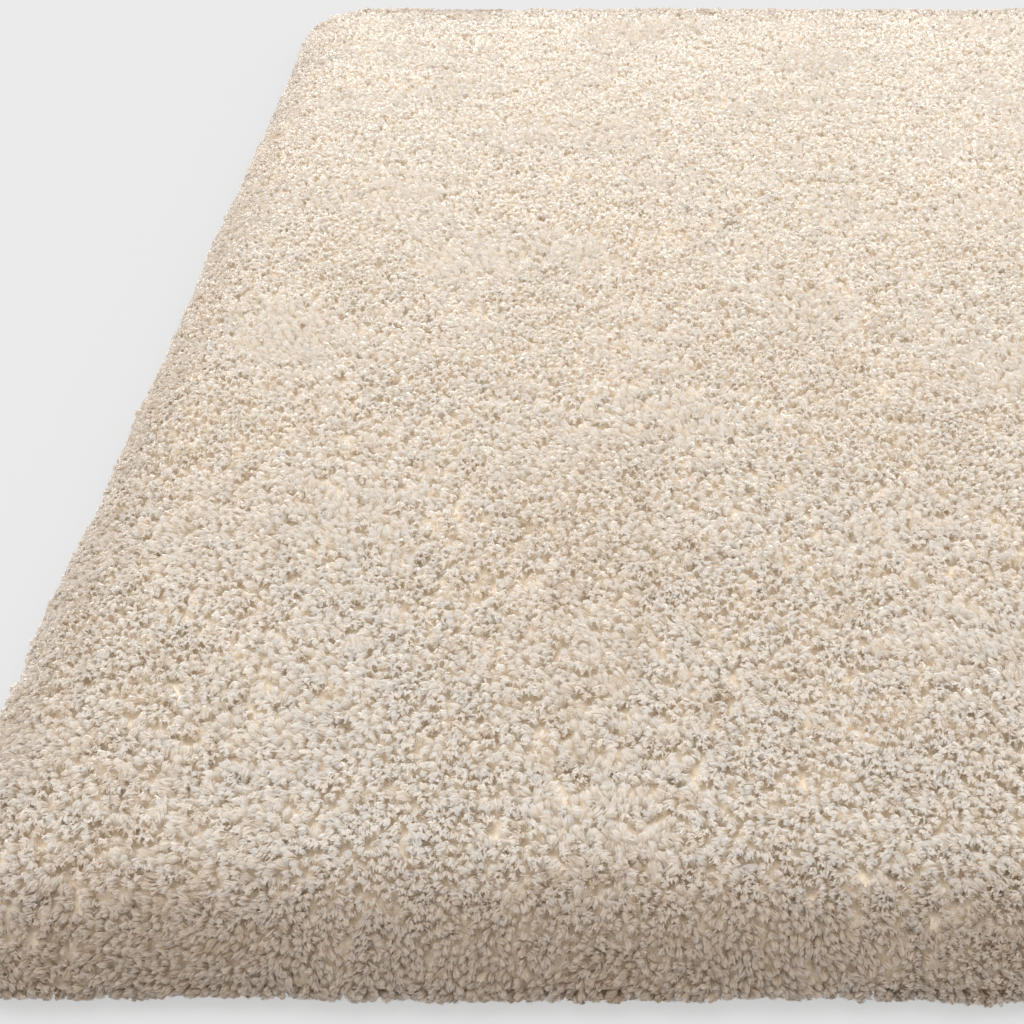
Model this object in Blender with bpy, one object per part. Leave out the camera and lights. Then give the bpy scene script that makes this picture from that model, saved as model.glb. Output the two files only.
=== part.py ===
"""Rectangular shag rug, lying flat: one solid that reaches as far as the tips of the pile.

Metres, +Z up.  The origin is on the floor under the middle of the rug.  +Y runs along the
length, from the near end to the far end, and +X runs across the width.

The rug is one piece of cloth, a ground weave with long yarn knotted into it, so it is one solid.
Its outline is a rectangle with round corners and a slightly wavy edge.  Its section is a flat
underside, an edge where the yarn fans out over the ground weave, and a flat top.
"""

import math

import bmesh
import bpy
from mathutils import Vector

# Overall size
WIDTH = 1.20
LENGTH = 1.70
THICKNESS = 0.050
CORNER_RADIUS = 0.095

# The edge's section, from the underside up to the top: how far each line lies inside the
# outline, and how high it lies as a share of the thickness.
#   name          inset   height share
EDGE_SECTION = (
    ("underside", 0.0140, 0.00),
    ("undercut", 0.0040, 0.12),
    ("rim", 0.0000, 0.26),
    ("flank", 0.0065, 0.48),
    ("hip", 0.0175, 0.68),
    ("shoulder", 0.0330, 0.84),
    ("brow", 0.0520, 0.95),
    ("top", 0.0750, 1.00),
)

# The outline's waves: whole waves in one round of the edge, height of a wave, and where it
# starts as a share of the wave.  Even numbers of waves make opposite points of the edge wander
# alike, which keeps the rug centred on its origin.
#   waves  height  start
EDGE_WAVES = (
    (8, 0.0012, 0.15),
    (18, 0.0010, 0.62),
    (28, 0.0008, 0.35),
)

# Fineness of the outline
STRAIGHT_STEP = 0.025
CORNER_STEPS = 10

# Cream pile
PILE_COLOUR = (0.68, 0.60, 0.51, 1.0)
PILE_ROUGHNESS = 0.95


def clear_scene():
    """Remove every object that the scene already has."""
    for old in list(bpy.data.objects):
        bpy.data.objects.remove(old, do_unlink=True)


def pile_material():
    """The rug's plain cream pile."""
    material = bpy.data.materials.new("pile")
    material.use_nodes = True
    shader = material.node_tree.nodes["Principled BSDF"]
    shader.inputs["Base Color"].default_value = PILE_COLOUR
    shader.inputs["Roughness"].default_value = PILE_ROUGHNESS
    shader.inputs["Metallic"].default_value = 0.0
    return material


def straight_stations(start, end, outward):
    """Evenly spaced points of one straight side, without its last point."""
    steps = max(1, round((end - start).length / STRAIGHT_STEP))
    return [(start.lerp(end, i / steps), outward) for i in range(steps)]


def corner_stations(centre, first_angle):
    """Points of one round corner, a quarter turn anticlockwise, without its last point."""
    stations = []
    for i in range(CORNER_STEPS):
        angle = first_angle + 0.5 * math.pi * i / CORNER_STEPS
        outward = Vector((math.cos(angle), math.sin(angle)))
        stations.append((centre + CORNER_RADIUS * outward, outward))
    return stations


def outline_stations():
    """The plain outline, anticlockwise: each point with the direction out of the rug."""
    x = 0.5 * WIDTH - CORNER_RADIUS
    y = 0.5 * LENGTH - CORNER_RADIUS
    centres = [Vector((x, -y)), Vector((x, y)), Vector((-x, y)), Vector((-x, -y))]
    stations = []
    for side, centre in enumerate(centres):
        first_angle = (side - 1) * 0.5 * math.pi
        outward = Vector((round(math.cos(first_angle + 0.5 * math.pi)),
                          round(math.sin(first_angle + 0.5 * math.pi))))
        reach = CORNER_RADIUS * outward
        following = centres[(side + 1) % len(centres)]
        stations += corner_stations(centre, first_angle)
        stations += straight_stations(centre + reach, following + reach, outward)
    return stations


def edge_wander(share):
    """How far the edge stands out at this share of the way round it."""
    return sum(height * math.sin(2.0 * math.pi * (waves * share + start))
               for waves, height, start in EDGE_WAVES)


def rug_object():
    """Lay the section's lines round the outline, bridge them, and close the top and bottom."""
    stations = outline_stations()
    steps = [(stations[i][0] - stations[i - 1][0]).length for i in range(len(stations))]
    perimeter = sum(steps)
    wander = []
    travelled = 0.0
    for i in range(len(stations)):
        travelled += steps[i] if i else 0.0
        wander.append(edge_wander(travelled / perimeter))

    bm = bmesh.new()
    previous = []
    for name, inset, height_share in EDGE_SECTION:
        ring = []
        for (point, outward), stand_out in zip(stations, wander):
            place = point + (stand_out - inset) * outward
            ring.append(bm.verts.new((place.x, place.y, height_share * THICKNESS)))
        edges = [bm.edges.new((ring[i - 1], ring[i])) for i in range(len(ring))]
        if name == "underside":
            bm.faces.new(list(reversed(ring)))
        else:
            bmesh.ops.bridge_loops(bm, edges=previous + edges)
        if name == "top":
            bm.faces.new(ring)
        previous = edges
    bmesh.ops.recalc_face_normals(bm, faces=bm.faces)

    mesh = bpy.data.meshes.new("rug")
    bm.to_mesh(mesh)
    bm.free()
    mesh.shade_smooth()
    mesh.set_sharp_from_angle(angle=math.radians(40.0))
    mesh.materials.append(pile_material())
    rug = bpy.data.objects.new("rug", mesh)
    bpy.context.scene.collection.objects.link(rug)
    return rug


clear_scene()
rug_object()
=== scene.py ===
"""Looks of the shag rug: a ground weave, the dense foot of the pile, and the loose yarn ends."""

import math

import bmesh
import bpy
import numpy as np
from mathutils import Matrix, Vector


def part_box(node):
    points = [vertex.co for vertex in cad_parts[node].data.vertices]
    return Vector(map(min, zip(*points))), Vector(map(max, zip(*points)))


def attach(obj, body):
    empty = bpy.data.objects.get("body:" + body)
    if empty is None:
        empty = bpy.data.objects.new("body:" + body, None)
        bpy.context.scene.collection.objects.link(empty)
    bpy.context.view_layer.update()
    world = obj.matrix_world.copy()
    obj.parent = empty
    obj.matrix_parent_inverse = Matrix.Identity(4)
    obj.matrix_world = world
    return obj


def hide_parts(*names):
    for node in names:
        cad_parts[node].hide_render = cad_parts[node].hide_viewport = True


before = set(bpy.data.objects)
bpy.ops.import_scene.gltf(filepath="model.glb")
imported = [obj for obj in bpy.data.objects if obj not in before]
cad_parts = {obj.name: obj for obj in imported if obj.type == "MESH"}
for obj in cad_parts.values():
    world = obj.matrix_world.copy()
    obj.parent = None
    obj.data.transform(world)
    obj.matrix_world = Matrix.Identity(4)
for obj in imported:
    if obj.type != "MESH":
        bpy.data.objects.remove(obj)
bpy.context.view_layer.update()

SEED = 20
NODE = "rug"
BODY = "root"
LOW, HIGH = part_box(NODE)
HALF_WIDTH = 0.5 * (HIGH[0] - LOW[0])
HALF_LENGTH = 0.5 * (HIGH[1] - LOW[1])
PILE_TOP = HIGH[2]

# Ground weave, which the yarn leaves at its foot and, near the edge, fans out from
GROUND_RISE = 0.003
FAN_INSET = 0.050

# Dense foot of the pile: how far it lies under the yarn's tips, and clear of the ground weave
FOOT_DEPTH = 0.0095
FOOT_LIFT = 0.0003

# Where tufts stand: least distance between them at the near and far ends, and how much finer all
# of it is on the flank, which is full where the edge has turned down this far
CANDIDATES = 900_000
NEAR_SPACING = 0.0052
FAR_SPACING = 0.0068
FLANK_SHARE = 0.72
FLANK_DROP = 0.009

# Painted shade, a deeper tone towards the two ends, and a share of it along the sides
EDGE_BAND = 0.095
EDGE_BLEND = 0.080
SIDE_SHADE = 0.35

# Tufts: the soft end of a yarn, a bundle of locks that leans over its neighbours
TUFT_LENGTH = 0.0128
TUFT_RADIUS = 0.0050
MEAN_LEAN = (-0.25, -0.45)
LEAN_SCATTER = 0.35
LEAST_TURN, MOST_TURN = 0.80, 1.15
TURN_UPRIGHT, TURN_PER_LEAN = 0.75, 0.30
END_SHIFT = 0.25

# How the lean wanders over the rug: wavelength, strength, and a seed for each of X and Y
LEAN_DRIFTS = (
    (0.20, 0.50, (101, 102)),
    (0.03, 0.40, (103, 104)),
)

# How deep the tufts end in the pile, and the few pits between them
MEAN_SINK = -0.0006
SINK_SCATTER = 0.0006
SINK_DRIFT = (0.05, 0.0009, 105)
PIT_WAVELENGTH, PIT_SEED = 0.016, 106
PIT_LEVEL = -1.5
PIT_DEPTH = 0.0020

# Tone of the tufts, on the scale of YARN_TONES, the few that are sandier, and painted shade, a greyer and
# darker cream towards the far end
MEAN_TINT = 0.30
TINT_SCATTER = 0.15
SAND_SHARE = 0.03
SAND_TINT = 0.35
FAR_PAINTED_SHADE = 0.30

# How the tone wanders over the rug: wavelength, strength, seed
TINT_DRIFTS = (
    (0.30, 0.07, 201),
    (0.06, 0.09, 202),
    (0.016, 0.14, 203),
)

# Locks: a few wide ones make a tuft's body, and narrow ones lie over them, more and finer ones
# towards the near end, which is seen closest.  The fewer they are, the brighter the pile looks.
PIECES = 5
BODY_LOCKS = 5
BODY_WIDTH = 0.0046
NEAR_LOCKS = 14
FAR_LOCKS = 3.7
NEAR_REACH = 0.30
NEAR_WIDTH = 0.0017
FAR_WIDTH = 0.0024
TWIST = 0.22
LOCK_TINT_SCATTER = 0.07
LEAST_HEIGHT = 0.0003

# Yarn tones from a greyish cream through the lightest one to sand: tone, linear colour
YARN_TONES = (
    (0.0, (0.79, 0.785, 0.78)),
    (0.35, (0.905, 0.90, 0.895)),
    (0.65, (0.835, 0.79, 0.735)),
    (1.0, (0.62, 0.53, 0.43)),
)
# Painted shade: the yarn is tan towards its foot, from this rise downwards to that one
FOOT_PAINTED_SHADE = (0.86, 0.815, 0.75)
FOOT_STARTS, FOOT_FULL = 0.92, 0.40
# Painted shade that the edge is multiplied by, and the share of it that reaches the tips
EDGE_PAINTED_SHADE = (0.75, 0.68, 0.605)
TIP_SHARE = 0.58
FIBRE_SCALE = 1000.0
FIBRE_STRETCH = 0.14
STREAKS = 2.2
FIBRE_RELIEF = 0.0006
THROUGH = 0.76

# Tones of the dense foot, darker than the yarn as painted shade deep in the pile, and of the ground
# weave: noise or weave value, linear colour
PILE_FOOT_PAINTED_SHADE = (
    (0.3, (0.58, 0.48, 0.36)),
    (0.7, (0.76, 0.67, 0.55)),
)
WEAVE_TONES = (
    (0.0, (0.34, 0.29, 0.23)),
    (1.0, (0.62, 0.56, 0.47)),
)
WEAVE_SCALE = 90.0
WEAVE_RELIEF = 0.0008

# Studio: the floor gives off part of its light, which keeps the shadow round the rug pale
FLOOR_SIZE = 30.0
FLOOR_DROP = 0.0005
FLOOR_GREY = 0.16
FLOOR_GLOW = 0.50
SKY_STRENGTH = 1.46
LAMP_PLACE = (-0.3, 0.9, 3.0)
LAMP_STRENGTH = 2.0
LAMP_ANGLE = math.radians(50.0)

# Camera
CAMERA_PLACE = (-0.178, -1.301, 0.744)
CAMERA_DIP = math.radians(38.6)
CAMERA_LENS = 47.83
CAMERA_SHIFT = -0.07

rng = np.random.default_rng(SEED)


# ---------------------------------------------------------------- helpers

def make_object(name, mesh, material):
    """A piece of the rug that rides on its body and wears this material."""
    mesh.materials.append(material)
    piece = bpy.data.objects.new(name, mesh)
    bpy.context.scene.collection.objects.link(piece)
    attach(piece, BODY)
    return piece


def places(mesh):
    """The mesh's vertices, a row for each."""
    place = np.empty(len(mesh.vertices) * 3)
    mesh.vertices.foreach_get("co", place)
    return place.reshape(-1, 3)


def unit(vectors):
    """The same directions with length 1."""
    return vectors / np.maximum(np.linalg.norm(vectors, axis=1, keepdims=True), 1e-12)


def drift(points, wavelength, seed, waves=14):
    """Smooth random value, about -1 to 1, that wanders over this wavelength: a sum of waves."""
    draw = np.random.default_rng(seed)
    angle = draw.uniform(0.0, 2.0 * np.pi, waves)
    pace = 2.0 * np.pi / (wavelength * draw.uniform(0.7, 1.5, waves))
    start = draw.uniform(0.0, 2.0 * np.pi, waves)
    phase = (points[:, 0:1] * np.cos(angle) + points[:, 1:2] * np.sin(angle)) * pace + start
    return np.sin(phase).sum(axis=1) * math.sqrt(2.0 / waves) * 0.7


def fan(points):
    """Direction in which the yarn reaches this point from where it leaves the ground weave."""
    foot = points.copy()
    foot[:, 0] = np.clip(points[:, 0], FAN_INSET - HALF_WIDTH, HALF_WIDTH - FAN_INSET)
    foot[:, 1] = np.clip(points[:, 1], FAN_INSET - HALF_LENGTH, HALF_LENGTH - FAN_INSET)
    foot[:, 2] = np.minimum(GROUND_RISE, points[:, 2] - 0.001)
    return unit(points - foot)


def along(points):
    """0 at the rug's near end, 1 at its far end."""
    return np.clip((points[:, 1] + HALF_LENGTH) / (2.0 * HALF_LENGTH), 0.0, 1.0)


def nearness(points):
    """1 at the near end, falling away along the rug."""
    return np.exp(-(points[:, 1] + HALF_LENGTH) / NEAR_REACH)


def fineness(points):
    """Size of what stands here: 1 on the rug's top, less where its edge turns down."""
    flank = np.clip((PILE_TOP - 0.0002 - points[:, 2]) / FLANK_DROP, 0.0, 1.0)
    return 1.0 - (1.0 - FLANK_SHARE) * flank


def painted_edge_shade(points):
    """How much painted shade darkens the yarn towards the rug's ends, and a little along its sides."""
    inset = np.stack([HALF_WIDTH - np.abs(points[:, 0]), HALF_LENGTH - np.abs(points[:, 1])], axis=1)
    share = np.clip((EDGE_BAND - inset) / EDGE_BLEND, 0.0, 1.0)
    share = share * share * (3.0 - 2.0 * share)
    return np.maximum(SIDE_SHADE * share[:, 0], share[:, 1])


# ---------------------------------------------------------------- where the tufts stand

def surface_candidates():
    """Random points spread evenly over the CAD solid's skin, without its flat underside."""
    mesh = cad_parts[NODE].data
    mesh.calc_loop_triangles()
    corners = np.array([t.vertices[:] for t in mesh.loop_triangles])
    place = places(mesh)
    a, b, c = (place[corners[:, i]] for i in range(3))
    cross = np.cross(b - a, c - a)
    area = 0.5 * np.linalg.norm(cross, axis=1)
    facing = cross[:, 2] / np.maximum(2.0 * area, 1e-15)
    area[facing < -0.9] = 0.0
    chosen = rng.choice(len(area), CANDIDATES, p=area / area.sum())
    u, v = rng.random((2, CANDIDATES))
    fold = u + v > 1.0
    u[fold], v[fold] = 1.0 - u[fold], 1.0 - v[fold]
    return a[chosen] + u[:, None] * (b[chosen] - a[chosen]) + v[:, None] * (c[chosen] - a[chosen])


def tuft_spacing(points):
    """Least distance between tufts: finer towards the near end and down the flanks."""
    spacing = NEAR_SPACING + (FAR_SPACING - NEAR_SPACING) * along(points)
    return spacing * fineness(points)


def spread_out(points, spacing):
    """Keep points that are at least their own spacing from every point kept before."""
    cells = {}
    kept = []
    near = [(i, j, k) for i in (-1, 0, 1) for j in (-1, 0, 1) for k in (-1, 0, 1)]
    keys = np.floor(points / spacing.max()).astype(int).tolist()
    limits = (spacing ** 2).tolist()
    for index, ((x, y, z), (i, j, k)) in enumerate(zip(points.tolist(), keys)):
        limit = limits[index]
        for di, dj, dk in near:
            other = cells.get((i + di, j + dj, k + dk))
            if other and any((x - p) ** 2 + (y - q) ** 2 + (z - r) ** 2 < limit for p, q, r in other):
                break
        else:
            cells.setdefault((i, j, k), []).append((x, y, z))
            kept.append(index)
    return points[kept]


# ---------------------------------------------------------------- yarn ends

def tuft_facts(sites):
    """What the locks of one tuft share: the yarn's way out, its lean, its height and its tone, with
    painted shade towards the far end.
    """
    n = len(sites)
    out = fan(sites)
    lean = np.zeros((n, 3))
    for axis, mean in enumerate(MEAN_LEAN):
        lean[:, axis] = mean
        for wavelength, strength, seeds in LEAN_DRIFTS:
            lean[:, axis] += strength * drift(sites, wavelength, seeds[axis])
    lean += rng.normal(0.0, LEAN_SCATTER, (n, 3)) * (1.0, 1.0, 0.2)
    lean -= out * (lean * out).sum(axis=1, keepdims=True)

    wavelength, strength, seed = SINK_DRIFT
    sink = MEAN_SINK + strength * drift(sites, wavelength, seed) + rng.normal(0.0, SINK_SCATTER, n)
    pit = drift(sites, PIT_WAVELENGTH, PIT_SEED) < PIT_LEVEL
    sink = np.where(pit, sink - PIT_DEPTH, sink)

    tint_and_painted_shade = np.full(n, MEAN_TINT)
    for wavelength, strength, seed in TINT_DRIFTS:
        tint_and_painted_shade += strength * drift(sites, wavelength, seed)
    tint_and_painted_shade += rng.normal(0.0, TINT_SCATTER, n)
    tint_and_painted_shade = np.where(rng.random(n) < SAND_SHARE, tint_and_painted_shade + SAND_TINT, tint_and_painted_shade)
    # a slightly greyer, darker cream towards the far end, as in the photo: painted shade
    tint_and_painted_shade -= FAR_PAINTED_SHADE * along(sites) ** 2
    return out, lean, sink, tint_and_painted_shade


def tuft_frames(sites, facts):
    """Where each tuft ends, its length, how far it is turned from upright, and its directions."""
    out, lean, sink, _ = facts
    slope = np.linalg.norm(lean, axis=1, keepdims=True)
    toward = lean / np.maximum(slope, 1e-9)
    turn = np.clip(TURN_UPRIGHT + TURN_PER_LEAN * slope, LEAST_TURN, MOST_TURN)
    axis = np.cos(turn) * out + np.sin(turn) * toward
    back = np.sin(turn) * out - np.cos(turn) * toward
    side = np.cross(axis, back)
    length = TUFT_LENGTH * fineness(sites)[:, None] * rng.uniform(0.85, 1.15, (len(sites), 1))
    end = sites + out * sink[:, None] + toward * np.sin(turn) * length * END_SHIFT
    return end, length, turn, axis, back, side


def make_locks(sites, facts, radius, tuft, count):
    """Vertices, rise, yarn coordinates and tone, with painted shade, of the locks, each a petal on its
    tuft's back.
    """
    end, length, turn, axis, back, side = (value[tuft] for value in tuft_frames(sites, facts))
    n = len(tuft)
    size = radius[tuft][:, None]
    first = np.cumsum(count) - count
    number = (np.arange(n) - first[tuft])[:, None]
    is_body = number < BODY_LOCKS

    # body locks stand evenly round the tuft and narrow ones anywhere, less far round a laid tuft
    share = np.where(is_body, (number + rng.uniform(0.2, 0.8, (n, 1))) / BODY_LOCKS,
                     rng.random((n, 1)))
    spread = np.pi * (1.0 - 0.40 * np.clip((turn - 0.3) / 0.7, 0.0, 1.0))
    around = spread * (2.0 * share - 1.0)
    # how far out from the tuft's middle they lie, as a share of its radius
    shell = np.where(is_body, rng.uniform(0.50, 0.75, (n, 1)), np.sqrt(rng.uniform(0.1, 1.1, (n, 1))))
    wide = NEAR_WIDTH + (FAR_WIDTH - NEAR_WIDTH) * (1.0 - nearness(sites)[tuft][:, None])
    wide = np.where(is_body, BODY_WIDTH, wide)
    wide = wide * fineness(sites)[tuft][:, None] * rng.uniform(0.75, 1.25, (n, 1))

    def turned(by):
        return np.cos(around + by) * back + np.sin(around + by) * side

    # outer locks end further back, which rounds the tuft
    twist = rng.normal(0.0, TWIST, (n, 1))
    round_way = np.cos(around) * side - np.sin(around) * back
    reach = rng.uniform(-0.0009, 0.0004, (n, 1)) - 0.0022 * shell ** 2 - 0.0006 * is_body
    foot = end - axis * length + turned(-twist) * size * shell * 0.45
    middle = end + axis * (reach - length * rng.uniform(0.16, 0.32, (n, 1)))
    middle = middle + turned(0.0) * size * shell
    tip = end + axis * reach + turned(twist) * size * shell * rng.uniform(0.40, 0.85, (n, 1))
    half = 0.5 * wide * round_way
    vertices = np.stack([foot, middle - half, middle + half, tip], axis=1)
    vertices[:, :, 2] = np.maximum(vertices[:, :, 2], LEAST_HEIGHT)

    # rise: 0 at the foot, 1 at the tip, and less on a body lock, which lies deeper
    rise = np.zeros((n, 4))
    rise[:, 1:3] = 0.70
    rise[:, 3] = 1.0
    rise -= 0.12 * is_body
    # yarn coordinates: X across the lock, Z along it, and a place in the noise for each lock
    yarn = np.zeros((n, 4, 3))
    yarn[:, 1, 0:1] = -0.5 * wide
    yarn[:, 2, 0:1] = 0.5 * wide
    yarn[:, 1, 2] = yarn[:, 2, 2] = np.linalg.norm(middle - foot, axis=1)
    yarn[:, 3, 2] = yarn[:, 1, 2] + np.linalg.norm(tip - middle, axis=1)
    # outer locks and body locks, which lie deeper, are a little darker: painted shade round each tuft's
    # rim
    tone_and_painted_shade = 0.26 * (shell[:, 0] ** 2 - 0.5) + 0.08 * is_body[:, 0]
    tone_and_painted_shade = tone_and_painted_shade + rng.normal(0.0, LOCK_TINT_SCATTER, n)
    yarn = yarn + rng.uniform(-5.0, 5.0, (n, 1, 3))
    return vertices, rise, yarn, facts[3][tuft] + tone_and_painted_shade


def lock_faces():
    """Faces of one lock, with the corner places on its UV patch."""
    low, high, mid = 0.06, 0.94, 0.5
    faces = [(0, 2, 1), (1, 2, 3)]
    patches = [[(low, mid), (mid, high), (mid, low)], [(mid, low), (mid, high), (high, mid)]]
    return faces, patches


def joined(name, vertices, rise, yarn, tint_and_painted_shade, edge, material):
    """One mesh of many locks, with what the yarn material reads and a patch of UV for each."""
    faces, patches = lock_faces()
    n, per, _ = vertices.shape
    template = np.concatenate([np.array(face) for face in faces])
    loops = (template[None, :] + per * np.arange(n)[:, None]).ravel()
    totals = np.tile([len(face) for face in faces], n)
    starts = np.cumsum(totals) - totals
    columns = math.ceil(math.sqrt(n))
    corner = np.concatenate([np.array(patch) for patch in patches])
    cell = np.stack([np.arange(n) % columns, np.arange(n) // columns], axis=1)
    uv = (cell[:, None, :] + corner[None, :, :]) / columns

    mesh = bpy.data.meshes.new(name)
    mesh.vertices.add(n * per)
    mesh.vertices.foreach_set("co", vertices.astype(np.float32).ravel())
    mesh.loops.add(len(loops))
    mesh.loops.foreach_set("vertex_index", loops.astype(np.int32))
    mesh.polygons.add(len(totals))
    mesh.polygons.foreach_set("loop_start", starts.astype(np.int32))
    mesh.polygons.foreach_set("loop_total", totals.astype(np.int32))
    mesh.update(calc_edges=True)
    mesh.shade_smooth()
    for label, values in (("rise", rise), ("tint_and_painted_shade", np.repeat(tint_and_painted_shade, per)), ("edge", np.repeat(edge, per))):
        layer = mesh.attributes.new(label, "FLOAT", "POINT")
        layer.data.foreach_set("value", values.astype(np.float32).ravel())
    layer = mesh.attributes.new("yarn", "FLOAT_VECTOR", "POINT")
    layer.data.foreach_set("vector", yarn.astype(np.float32).ravel())
    layer = mesh.uv_layers.new(name="OFBake")
    layer.data.foreach_set("uv", uv.astype(np.float32).ravel())
    return make_object(name, mesh, material)


# ---------------------------------------------------------------- materials

def new_material(name):
    """A material with nodes, and what its maker needs of it."""
    material = bpy.data.materials.new(name)
    material.use_nodes = True
    nodes = material.node_tree.nodes
    return material, nodes, material.node_tree.links, nodes["Principled BSDF"]


def attribute(nodes, name):
    """Node that reads one of the mesh's attributes."""
    node = nodes.new("ShaderNodeAttribute")
    node.attribute_name = name
    return node


def math_node(nodes, operation, *numbers):
    """Math node with numbers in its second and later sockets; the first is left to a link."""
    node = nodes.new("ShaderNodeMath")
    node.operation = operation
    for socket, number in zip(list(node.inputs)[1:], numbers):
        socket.default_value = number
    return node


def tone_ramp(nodes, tones):
    """Colour ramp through these tones."""
    node = nodes.new("ShaderNodeValToRGB")
    elements = node.color_ramp.elements
    while len(elements) < len(tones):
        elements.new(0.5)
    for element, (position, colour) in zip(elements, tones):
        element.position = position
        element.color = (*colour, 1.0)
    return node


def relief(nodes, links, height, strength, distance, shader):
    """Bump the shader's surface by this height."""
    bump = nodes.new("ShaderNodeBump")
    bump.inputs["Strength"].default_value = strength
    bump.inputs["Distance"].default_value = distance
    links.new(height, bump.inputs["Height"])
    links.new(bump.outputs["Normal"], shader.inputs["Normal"])


def yarn_material():
    """Mixed cream and sand yarn: a tone for each end, fibre streaks along it, and painted shade at its
    foot and along the rug's ends.
    """
    material, nodes, links, shader = new_material("yarn")
    stretch = nodes.new("ShaderNodeMapping")
    stretch.inputs["Scale"].default_value = (1.0, 1.0, FIBRE_STRETCH)
    links.new(attribute(nodes, "yarn").outputs["Vector"], stretch.inputs["Vector"])
    fibres = nodes.new("ShaderNodeTexNoise")
    fibres.inputs["Scale"].default_value = FIBRE_SCALE
    fibres.inputs["Detail"].default_value = 1.0
    links.new(stretch.outputs["Vector"], fibres.inputs["Vector"])

    # tone = tint + streaks, the tint carrying painted shade
    streak = math_node(nodes, "MULTIPLY_ADD", STREAKS, -0.5 * STREAKS)
    links.new(fibres.outputs["Fac"], streak.inputs[0])
    tone_and_painted_shade = math_node(nodes, "ADD")
    links.new(attribute(nodes, "tint_and_painted_shade").outputs["Fac"], tone_and_painted_shade.inputs[0])
    links.new(streak.outputs["Value"], tone_and_painted_shade.inputs[1])
    ramp = tone_ramp(nodes, YARN_TONES)
    links.new(tone_and_painted_shade.outputs["Value"], ramp.inputs["Fac"])

    # painted shade: tan towards the foot
    shade = nodes.new("ShaderNodeMapRange")
    shade.inputs["From Min"].default_value = FOOT_STARTS
    shade.inputs["From Max"].default_value = FOOT_FULL
    links.new(attribute(nodes, "rise").outputs["Fac"], shade.inputs["Value"])
    foot = nodes.new("ShaderNodeMix")
    foot.data_type = "RGBA"
    links.new(shade.outputs["Result"], foot.inputs["Factor"])
    links.new(ramp.outputs["Color"], foot.inputs["A"])
    foot.inputs["B"].default_value = (*FOOT_PAINTED_SHADE, 1.0)

    # painted shade along the rug's edge, darkest between the tufts
    depth = math_node(nodes, "MULTIPLY_ADD", 1.0 - TIP_SHARE, TIP_SHARE)
    links.new(shade.outputs["Result"], depth.inputs[0])
    factor = math_node(nodes, "MULTIPLY")
    links.new(attribute(nodes, "edge").outputs["Fac"], factor.inputs[0])
    links.new(depth.outputs["Value"], factor.inputs[1])
    edge = nodes.new("ShaderNodeMix")
    edge.data_type = "RGBA"
    edge.blend_type = "MULTIPLY"
    links.new(factor.outputs["Value"], edge.inputs["Factor"])
    links.new(foot.outputs["Result"], edge.inputs["A"])
    edge.inputs["B"].default_value = (*EDGE_PAINTED_SHADE, 1.0)
    links.new(edge.outputs["Result"], shader.inputs["Base Color"])

    relief(nodes, links, fibres.outputs["Fac"], 0.3, FIBRE_RELIEF, shader)
    shader.inputs["Roughness"].default_value = 0.85
    shader.inputs["Specular IOR Level"].default_value = 0.15
    # some of the light goes through the thin locks
    through = nodes.new("ShaderNodeBsdfTranslucent")
    links.new(edge.outputs["Result"], through.inputs["Color"])
    both = nodes.new("ShaderNodeMixShader")
    both.inputs["Fac"].default_value = THROUGH
    links.new(shader.outputs["BSDF"], both.inputs[1])
    links.new(through.outputs["BSDF"], both.inputs[2])
    links.new(both.outputs["Shader"], nodes["Material Output"].inputs["Surface"])
    return material


def foot_material():
    """The dense foot of the pile, seen only through gaps, coloured darker than the yarn as painted shade
    deep in the pile.
    """
    material, nodes, links, shader = new_material("pile_foot")
    place = nodes.new("ShaderNodeTexCoord")
    noise = nodes.new("ShaderNodeTexNoise")
    noise.inputs["Scale"].default_value = 260.0
    noise.inputs["Detail"].default_value = 3.0
    links.new(place.outputs["Object"], noise.inputs["Vector"])
    ramp = tone_ramp(nodes, PILE_FOOT_PAINTED_SHADE)
    links.new(noise.outputs["Fac"], ramp.inputs["Fac"])
    links.new(ramp.outputs["Color"], shader.inputs["Base Color"])
    shader.inputs["Roughness"].default_value = 0.95
    return material


def weave_material():
    """Plain woven backing: warp and weft threads that pass over and under one another."""
    material, nodes, links, shader = new_material("ground_weave")
    place = nodes.new("ShaderNodeTexCoord")
    weave = math_node(nodes, "MULTIPLY")
    for socket, direction in zip(weave.inputs, ("X", "Y")):
        wave = nodes.new("ShaderNodeTexWave")
        wave.bands_direction = direction
        wave.inputs["Scale"].default_value = WEAVE_SCALE
        wave.inputs["Distortion"].default_value = 0.6
        wave.inputs["Detail"].default_value = 1.0
        links.new(place.outputs["Object"], wave.inputs["Vector"])
        links.new(wave.outputs["Fac"], socket)
    ramp = tone_ramp(nodes, WEAVE_TONES)
    links.new(weave.outputs["Value"], ramp.inputs["Fac"])
    links.new(ramp.outputs["Color"], shader.inputs["Base Color"])
    relief(nodes, links, weave.outputs["Value"], 0.6, WEAVE_RELIEF, shader)
    shader.inputs["Roughness"].default_value = 0.9
    return material


# ---------------------------------------------------------------- build

def pile_foot(material):
    """The CAD solid drawn in along the yarn, just under the loose ends."""
    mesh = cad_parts[NODE].data.copy()
    mesh.name = "pile_foot"
    mesh.materials.clear()
    place = places(mesh)
    drawn = place - fan(place) * FOOT_DEPTH
    drawn[:, 2] = np.maximum(drawn[:, 2], GROUND_RISE + FOOT_LIFT)
    mesh.vertices.foreach_set("co", drawn.astype(np.float32).ravel())
    mesh.update()
    return make_object("pile_foot", mesh, material)


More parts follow.
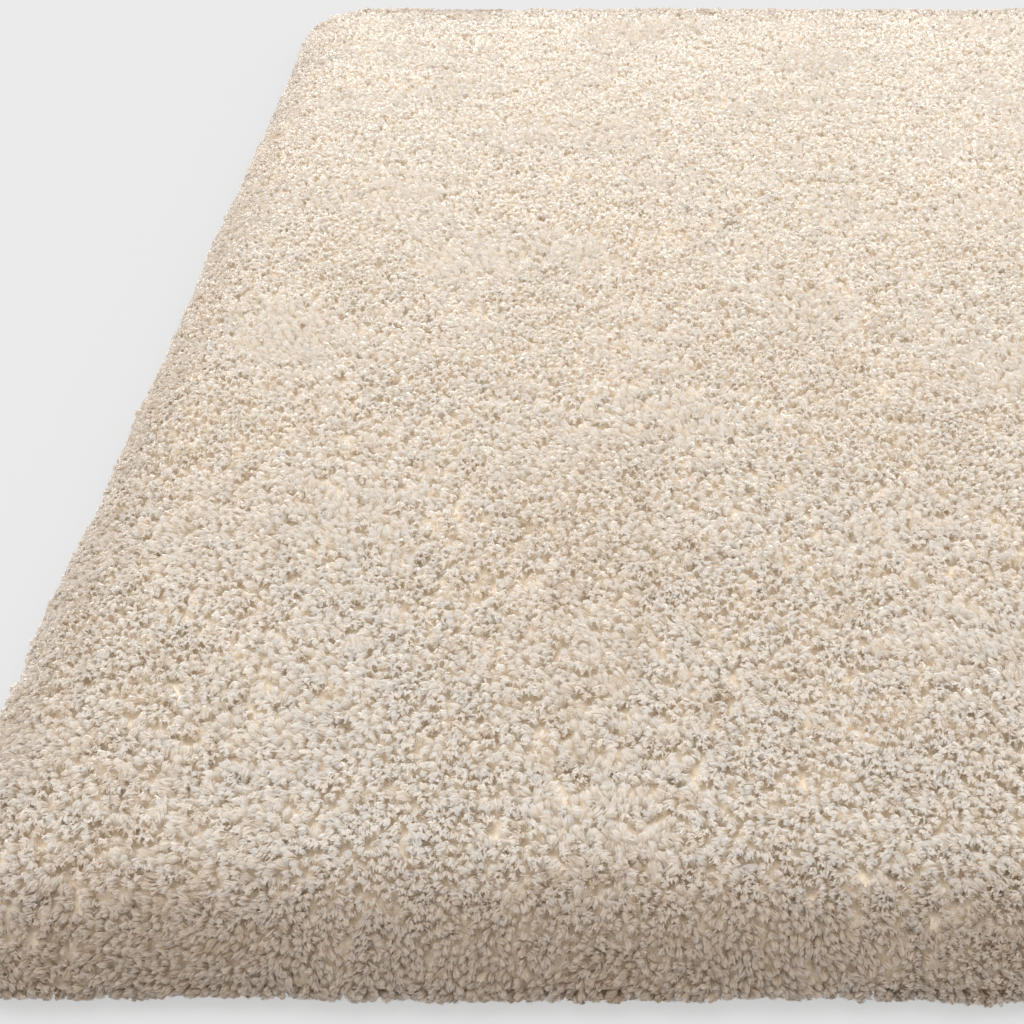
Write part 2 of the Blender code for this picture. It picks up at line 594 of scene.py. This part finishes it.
def ground_weave(material):
    """The cloth that the yarn is knotted into: a thin closed slab on the CAD solid's underside."""
    ring = [vertex.co.copy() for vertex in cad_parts[NODE].data.vertices if vertex.co.z < 1e-5]
    ring.sort(key=lambda place: math.atan2(place.y, place.x))
    bm = bmesh.new()
    below = [bm.verts.new((p.x, p.y, 0.0)) for p in ring]
    above = [bm.verts.new((p.x, p.y, GROUND_RISE)) for p in ring]
    bm.faces.new(list(reversed(below)))
    bm.faces.new(above)
    for i in range(len(ring)):
        bm.faces.new((below[i - 1], below[i], above[i], above[i - 1]))
    mesh = bpy.data.meshes.new("ground_weave")
    bm.to_mesh(mesh)
    bm.free()
    return make_object("ground_weave", mesh, material)


def loose_yarn(material):
    """All the tufts, in a few joined meshes that follow one another along the rug."""
    candidates = surface_candidates()
    sites = spread_out(candidates, tuft_spacing(candidates))
    sites = sites[np.argsort(sites[:, 1], kind="stable")]
    facts = tuft_facts(sites)
    radius = TUFT_RADIUS * tuft_spacing(sites) / NEAR_SPACING * rng.uniform(0.85, 1.15, len(sites))
    narrow = FAR_LOCKS + (NEAR_LOCKS - FAR_LOCKS) * nearness(sites)
    count = BODY_LOCKS + np.round(narrow + rng.uniform(-0.5, 0.5, len(sites))).astype(int)
    tuft = np.repeat(np.arange(len(sites)), count)
    locks = make_locks(sites, facts, radius, tuft, count)
    edge = painted_edge_shade(sites)[tuft]
    pieces = []
    for number, part in enumerate(np.array_split(np.arange(len(tuft)), PIECES)):
        shares = [values[part] for values in locks]
        pieces.append(joined(f"yarn_{number + 1}", *shares, edge[part], material))
    return pieces


def build_rug():
    """The rug's pieces: the loose yarn, the dense foot of the pile, and the ground weave that holds the
    others.
    """
    pieces = loose_yarn(yarn_material())
    foot = pile_foot(foot_material())
    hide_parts(NODE)
    cloth = ground_weave(weave_material())


# ---------------------------------------------------------------- stage

def build_floor():
    """Pale plain floor."""
    size = FLOOR_SIZE
    mesh = bpy.data.meshes.new("floor")
    mesh.from_pydata([(-size, -size, 0), (size, -size, 0), (size, size, 0), (-size, size, 0)], [],
                     [(0, 1, 2, 3)])
    floor = bpy.data.objects.new("floor", mesh)
    floor.location.z = -FLOOR_DROP
    bpy.context.scene.collection.objects.link(floor)
    material, _, _, shader = new_material("floor")
    shader.inputs["Base Color"].default_value = (FLOOR_GREY, FLOOR_GREY, FLOOR_GREY, 1.0)
    shader.inputs["Emission Color"].default_value = (1.0, 1.0, 1.0, 1.0)
    shader.inputs["Emission Strength"].default_value = FLOOR_GLOW
    shader.inputs["Roughness"].default_value = 1.0
    shader.inputs["Specular IOR Level"].default_value = 0.0
    mesh.materials.append(material)


def build_light():
    """Soft overhead light that comes a little from the far end, and even sky light."""
    world = bpy.data.worlds.new("studio")
    world.use_nodes = True
    background = world.node_tree.nodes["Background"]
    background.inputs["Color"].default_value = (1.0, 1.0, 1.0, 1.0)
    background.inputs["Strength"].default_value = SKY_STRENGTH
    bpy.context.scene.world = world

    light = bpy.data.lights.new("overhead", "SUN")
    light.energy = LAMP_STRENGTH
    light.angle = LAMP_ANGLE
    lamp = bpy.data.objects.new("overhead", light)
    lamp.location = LAMP_PLACE
    lamp.rotation_euler = (-Vector(LAMP_PLACE)).to_track_quat("-Z", "Y").to_euler()
    bpy.context.scene.collection.objects.link(lamp)
    bpy.context.scene.view_settings.view_transform = "Standard"


def build_camera():
    """Seen from its near end, standing low in front of it and a little left of its middle."""
    camera = bpy.data.cameras.new("camera")
    camera.sensor_width = 36.0
    camera.lens = CAMERA_LENS
    camera.shift_x = CAMERA_SHIFT
    camera.clip_start = 0.05
    holder = bpy.data.objects.new("camera", camera)
    holder.location = CAMERA_PLACE
    holder.rotation_euler = (0.5 * math.pi - CAMERA_DIP, 0.0, 0.0)
    bpy.context.scene.collection.objects.link(holder)
    bpy.context.scene.camera = holder


build_camera()
build_rug()
build_floor()
build_light()
